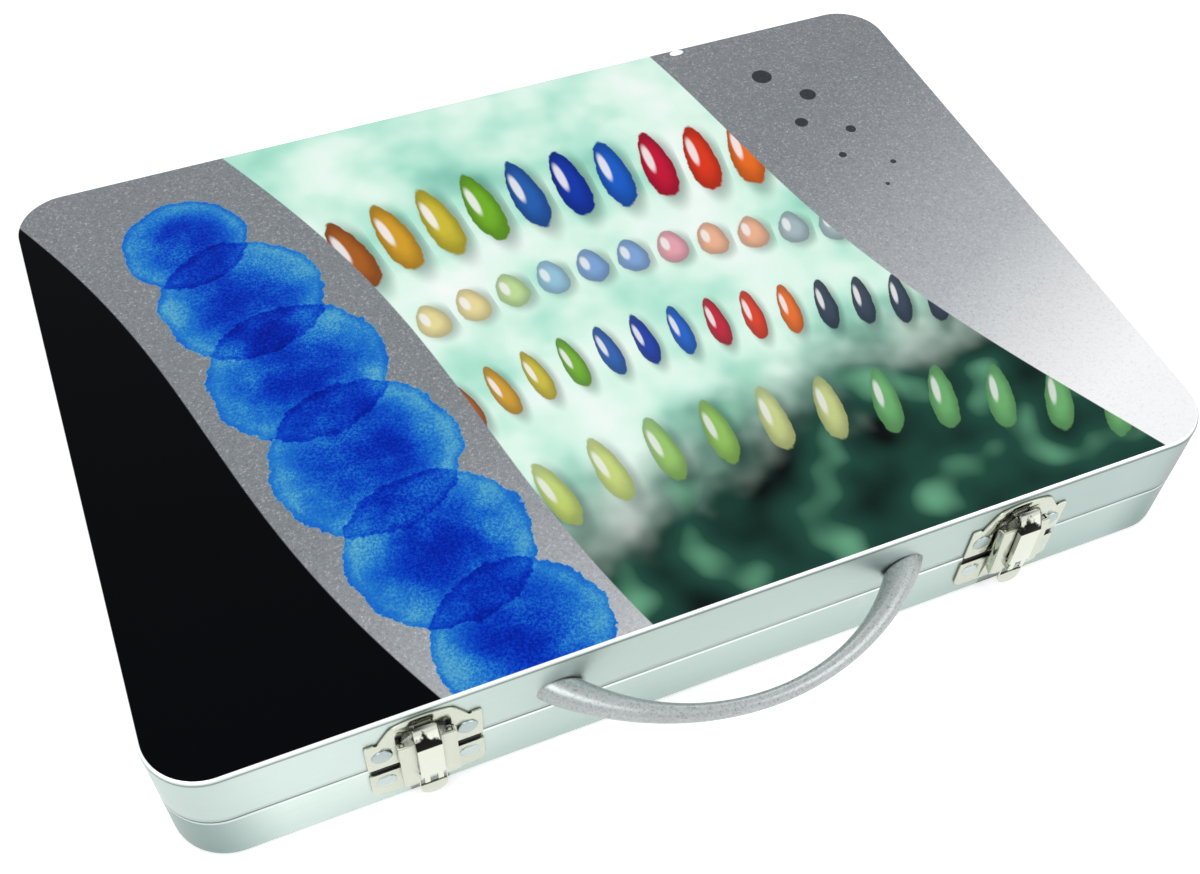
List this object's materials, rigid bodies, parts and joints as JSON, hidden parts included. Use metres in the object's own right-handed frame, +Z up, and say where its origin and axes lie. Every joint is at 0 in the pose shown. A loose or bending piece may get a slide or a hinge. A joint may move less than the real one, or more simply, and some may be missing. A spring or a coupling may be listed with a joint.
{
  "type": "watercolour paint box",
  "caption": "Flat hinged tinplate paint box with a bow handle and draw latches, holding a moulded tray of tubes, half pans, brushes, pencils and palettes.",
  "frame": {"origin": "centre of the case's underside", "axes": "+X along the case's width to the right, +Y to the hinges at the back, +Z up"},
  "size_m": [0.344, 0.2722, 0.049],
  "materials": {
    "bare_tinplate": "bare tinplate, satin, slightly green-grey",
    "printed_tinplate": "printed and lacquered tinplate on top, bare satin skirt",
    "handle_plastic": "metallic grey moulding, satin, fine grain",
    "zinc_screw": "zinc plated, satin",
    "rivet_steel": "plated steel, polished",
    "nickel": "nickel plated sheet, bright",
    "nickel_bright": "nickel plated sheet, mirror bright",
    "tray_plastic": "white moulding, semi-matt",
    "tube_metal": "lacquered soft aluminium with a colour band",
    "cap_plastic": "white, glossy, ribbed",
    "paint_cake": "pressed paint, matt, a different colour in each pan",
    "lacquered_wood": "dark blue lacquer, glossy",
    "ferrule_metal": "nickel plated, polished",
    "brush_hair": "brown hair",
    "pencil_lacquer": "dark green lacquer",
    "bare_wood": "bare cedar with a graphite tip",
    "eraser_rubber": "white, matt",
    "sharpener_metal": "die-cast magnesium, satin",
    "blade_steel": "hardened steel, ground",
    "palette_plastic": "white, glossy",
    "paper": "uncoated white paper, matt",
    "pad_card": "coated card, satin"
  },
  "bodies": {
    "base": {"base_pan": "bare_tinplate", "left_hinge_base_leaf": "bare_tinplate", "right_hinge_base_leaf": "bare_tinplate", "left_hinge_pin": "zinc_screw", "right_hinge_pin": "zinc_screw", "hinge_base_rivets": "rivet_steel", "left_latch_plate": "nickel", "right_latch_plate": "nickel", "latch_plate_rivets": "rivet_steel", "latch_lever_pins": "rivet_steel", "insert_tray": "tray_plastic", "paint_tube_01": "tube_metal", "paint_tube_02": "tube_metal", "paint_tube_03": "tube_metal", "paint_tube_04": "tube_metal", "paint_tube_05": "tube_metal", "paint_tube_06": "tube_metal", "paint_tube_07": "tube_metal", "paint_tube_08": "tube_metal", "paint_tube_09": "tube_metal", "paint_tube_10": "tube_metal", "paint_tube_11": "tube_metal", "paint_tube_12": "tube_metal", "tube_caps": "cap_plastic", "pan_cups": "tray_plastic", "paint_cakes": "paint_cake", "brush_handles": "lacquered_wood", "brush_ferrules": "ferrule_metal", "brush_tufts": "brush_hair", "pencil_barrels": "pencil_lacquer", "pencil_points": "bare_wood", "eraser": "eraser_rubber", "sharpener_body": "sharpener_metal", "sharpener_blade": "blade_steel", "sharpener_screw": "zinc_screw", "palette": "palette_plastic", "round_palette": "palette_plastic", "pad_sheets": "paper", "pad_cover": "pad_card"},
    "lid": {"lid_shell": "printed_tinplate", "handle": "handle_plastic", "handle_screws": "zinc_screw", "left_hinge_lid_leaf": "bare_tinplate", "right_hinge_lid_leaf": "bare_tinplate", "hinge_lid_rivets": "rivet_steel", "left_keeper": "nickel", "right_keeper": "nickel", "keeper_rivets": "rivet_steel"},
    "left_lever": {"left_latch_lever": "nickel", "left_loop_pin": "rivet_steel"},
    "right_lever": {"right_latch_lever": "nickel", "right_loop_pin": "rivet_steel"},
    "left_loop": {"left_latch_loop": "nickel_bright"},
    "right_loop": {"right_latch_loop": "nickel_bright"}
  },
  "joints": [
    {"name": "lid_hinge", "type": "hinge", "parent": "base", "child": "lid", "pos_m": [0, 0.1222, 0.0235], "axis": [-1, 0, 0], "range_deg": [0, 150]},
    {"name": "left_lever_pivot", "type": "hinge", "parent": "base", "child": "left_lever", "pos_m": [-0.0984, -0.1227, 0.0365], "axis": [-1, 0, 0], "range_deg": [0, 100]},
    {"name": "left_loop_pivot", "type": "hinge", "parent": "left_lever", "child": "left_loop", "pos_m": [-0.0984, -0.1236, 0.0186], "axis": [1, 0, 0], "range_deg": [0, 80]},
    {"name": "right_lever_pivot", "type": "hinge", "parent": "base", "child": "right_lever", "pos_m": [0.0984, -0.1227, 0.0365], "axis": [-1, 0, 0], "range_deg": [0, 100]},
    {"name": "right_loop_pivot", "type": "hinge", "parent": "right_lever", "child": "right_loop", "pos_m": [0.0984, -0.1236, 0.0186], "axis": [1, 0, 0], "range_deg": [0, 80]}
  ],
  "couplings": [
    {"joint": "left_loop_pivot", "follows": "left_lever_pivot", "ratio": 0.8},
    {"joint": "right_loop_pivot", "follows": "right_lever_pivot", "ratio": 0.8}
  ]
}
